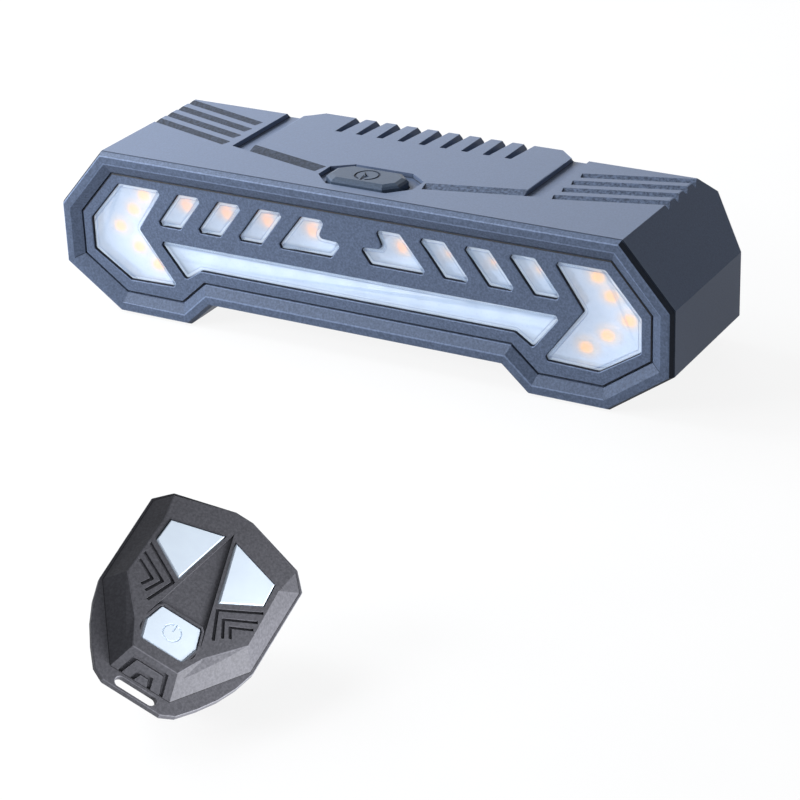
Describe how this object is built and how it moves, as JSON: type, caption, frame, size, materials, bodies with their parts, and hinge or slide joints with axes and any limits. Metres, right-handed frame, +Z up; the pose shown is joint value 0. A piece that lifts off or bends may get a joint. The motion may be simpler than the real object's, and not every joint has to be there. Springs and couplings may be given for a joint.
{
  "type": "bicycle turn signal light",
  "caption": "Rechargeable bicycle turn signal tail light with a clear arrow lens over amber chips, a seat post strap mount and a matching handlebar remote",
  "frame": {"origin": "under the middle of the box round the lamp and the remote, on the ground", "axes": "+X to the lamp's right as its lens is looked at, +Y from the lens to the rear of the lamp, +Z up"},
  "size_m": [0.1312, 0.1998, 0.0342],
  "materials": {
    "housing plastic": "fine spark-textured dark plastic",
    "bezel plastic": "fine spark-textured dark plastic",
    "lens plastic": "frosted translucent plastic",
    "diffuser plastic": "white",
    "circuit board": "solder-masked laminate",
    "amber chip": "amber phosphor",
    "white chip": "pale phosphor",
    "black plastic": "plain",
    "rubber": "matt",
    "bright metal": "plain",
    "cell sleeve": "shrink sleeve",
    "lead sleeve": "insulation",
    "plunger plastic": "plain",
    "remote plastic": "fine spark-textured dark plastic",
    "remote key plastic": "satin"
  },
  "bodies": {
    "case": {"rear_housing": "housing plastic", "front_bezel": "bezel plastic", "front_mask": "housing plastic", "front_lens": "lens plastic", "bar_diffuser": "diffuser plastic", "light_box": "diffuser plastic", "front_frame": "black plastic", "led_board": "circuit board", "amber_leds_left": "amber chip", "amber_leds_right": "amber chip", "bar_leds": "white chip", "board_link": "black plastic", "control_board": "circuit board", "control_chips": "black plastic", "radio_module": "bright metal", "switch_body": "black plastic", "battery_cell": "cell sleeve", "battery_cradle": "black plastic", "battery_contacts": "bright metal", "battery_leads": "lead sleeve", "battery_foam": "rubber", "usb_board": "circuit board", "usb_socket": "bright metal", "usb_lead": "lead sleeve", "housing_seal": "rubber", "housing_screws": "bright metal", "mount_bracket": "black plastic", "bracket_screws": "bright metal", "saddle_pad": "rubber", "strap_pins": "bright metal", "post_strap": "rubber", "remote_top_shell": "remote plastic", "remote_base": "remote plastic", "remote_switches": "bright metal", "remote_board": "circuit board", "remote_chips": "black plastic", "coin_cell": "bright metal", "coin_contact": "bright metal", "remote_saddle": "rubber", "remote_band": "rubber"},
    "button": {"power_button": "housing plastic", "switch_plunger": "plunger plastic"},
    "port_cover": {"usb_cover": "rubber"},
    "left_key": {"remote_left_key": "remote key plastic"},
    "right_key": {"remote_right_key": "remote key plastic"},
    "power_key": {"remote_power_key": "remote key plastic"}
  },
  "joints": [
    {"name": "lamp_button", "type": "slide", "parent": "case", "child": "button", "axis": [0, 0, -1], "range_m": [0, 0.0005], "stiffness_N_per_m": 900},
    {"name": "cover_hinge", "type": "hinge", "parent": "case", "child": "port_cover", "pos_m": [-0.0315, 0.06718, 0.012], "axis": [0, 0, -1], "range_deg": [0, 110]},
    {"name": "left_turn_key", "type": "slide", "parent": "case", "child": "left_key", "axis": [-0.5655, 0.2562, -0.7839], "range_m": [0, 0.0003], "stiffness_N_per_m": 900},
    {"name": "right_turn_key", "type": "slide", "parent": "case", "child": "right_key", "axis": [-0.5655, 0.2562, -0.7839], "range_m": [0, 0.0003], "stiffness_N_per_m": 900},
    {"name": "remote_power", "type": "slide", "parent": "case", "child": "power_key", "axis": [-0.5655, 0.2562, -0.7839], "range_m": [0, 0.0003], "stiffness_N_per_m": 900}
  ]
}
